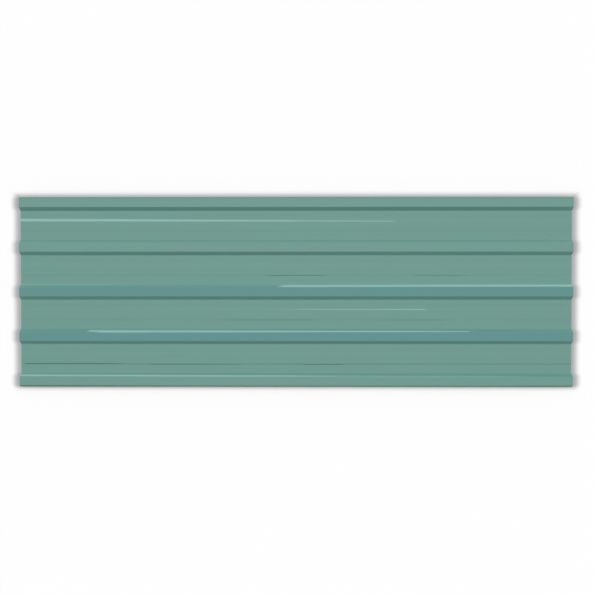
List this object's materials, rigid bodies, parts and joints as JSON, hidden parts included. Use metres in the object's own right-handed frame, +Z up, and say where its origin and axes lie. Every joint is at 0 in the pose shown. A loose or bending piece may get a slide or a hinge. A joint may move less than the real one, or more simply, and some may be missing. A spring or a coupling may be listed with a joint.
{
  "type": "corrugated metal sheet",
  "caption": "Long flat-lying sheet of green painted steel with trapezoidal ribs and low stiffening swages in its pans, for roofing and wall cladding.",
  "frame": {"origin": "on the floor, under the middle of the sheet", "axes": "+X along the ribs, +Y across them, +Z up, with the pans lying on the floor"},
  "size_m": [3.05, 1.0476, 0.0255],
  "materials": {
    "green_paint": "satin"
  },
  "bodies": {
    "root": {"corrugated_sheet": "green_paint"}
  },
  "joints": []
}
